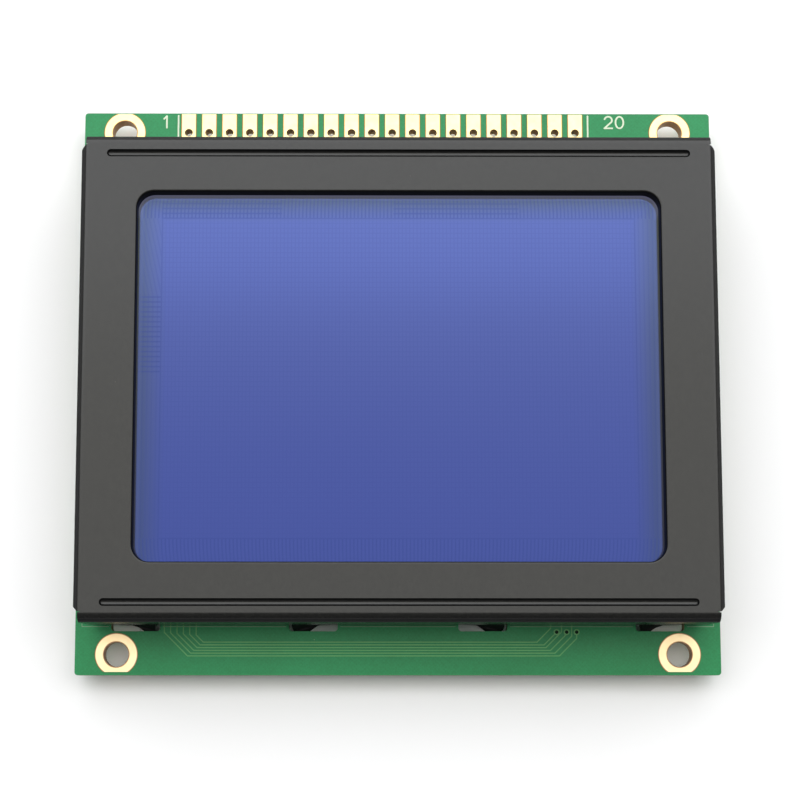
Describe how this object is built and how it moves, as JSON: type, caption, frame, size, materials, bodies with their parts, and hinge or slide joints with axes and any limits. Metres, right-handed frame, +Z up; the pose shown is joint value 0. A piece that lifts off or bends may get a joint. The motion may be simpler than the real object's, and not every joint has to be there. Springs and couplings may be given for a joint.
{
  "type": "graphic lcd module",
  "caption": "Flat dot-matrix display module: a glass cell under a folded steel bezel with a window, on a circuit board with corner mounting holes and a row of plated pin holes.",
  "frame": {"origin": "on the surface that the module lies on, below the middle of its board, at the tips of the bezel's tabs", "axes": "+X along the pin row towards its last pin, +Y towards the pin row, +Z up, out of the display"},
  "size_m": [0.078, 0.07, 0.0126],
  "materials": {
    "solder_mask": "green solder mask over glass-fibre laminate, semi-gloss",
    "gold_plating": "bright gold flash over nickel",
    "bezel_paint": "black baked enamel on sheet steel, semi-gloss with fine orange peel",
    "polarizer_film": "smooth polarizer film over the blue cell, whose faint dot matrix shows through it",
    "display_glass": "polished soda-lime glass",
    "display_blue": "blue film behind the cell, satin",
    "seal_resin": "cured resin, satin",
    "elastomer": "striped conductive silicone rubber",
    "white_plastic": "white moulded plastic, satin",
    "white_film": "white film, matt",
    "clear_acrylic": "clear polished acrylic",
    "led_laminate": "white-faced laminate, matt",
    "led_package": "diode package with yellow phosphor resin",
    "tinned_metal": "bright tin",
    "black_resin": "black epoxy resin, satin",
    "resistor_ceramic": "black glazed film on ceramic with tinned ends",
    "capacitor_ceramic": "brown ceramic with tinned ends",
    "legend_ink": "printed white ink, matt"
  },
  "bodies": {
    "root": {"circuit_board": "solder_mask", "mount_pads": "gold_plating", "header_pads": "gold_plating", "front_bezel": "bezel_paint", "front_polarizer": "polarizer_film", "front_glass": "display_glass", "cell_seal": "seal_resin", "rear_glass": "display_glass", "rear_polarizer": "display_blue", "zebra_strip_top": "elastomer", "zebra_strip_bottom": "elastomer", "backlight_tray": "white_plastic", "diffuser_sheet": "white_film", "light_guide": "clear_acrylic", "reflector_sheet": "white_film", "led_board": "led_laminate", "backlight_leds": "led_package", "backlight_leads": "tinned_metal", "lead_solder": "tinned_metal", "segment_driver_left": "black_resin", "segment_driver_right": "black_resin", "common_driver": "black_resin", "amplifier_body": "black_resin", "amplifier_legs": "tinned_metal", "converter_body": "black_resin", "converter_legs": "tinned_metal", "chip_resistors": "resistor_ceramic", "chip_capacitors": "capacitor_ceramic"}
  },
  "joints": []
}
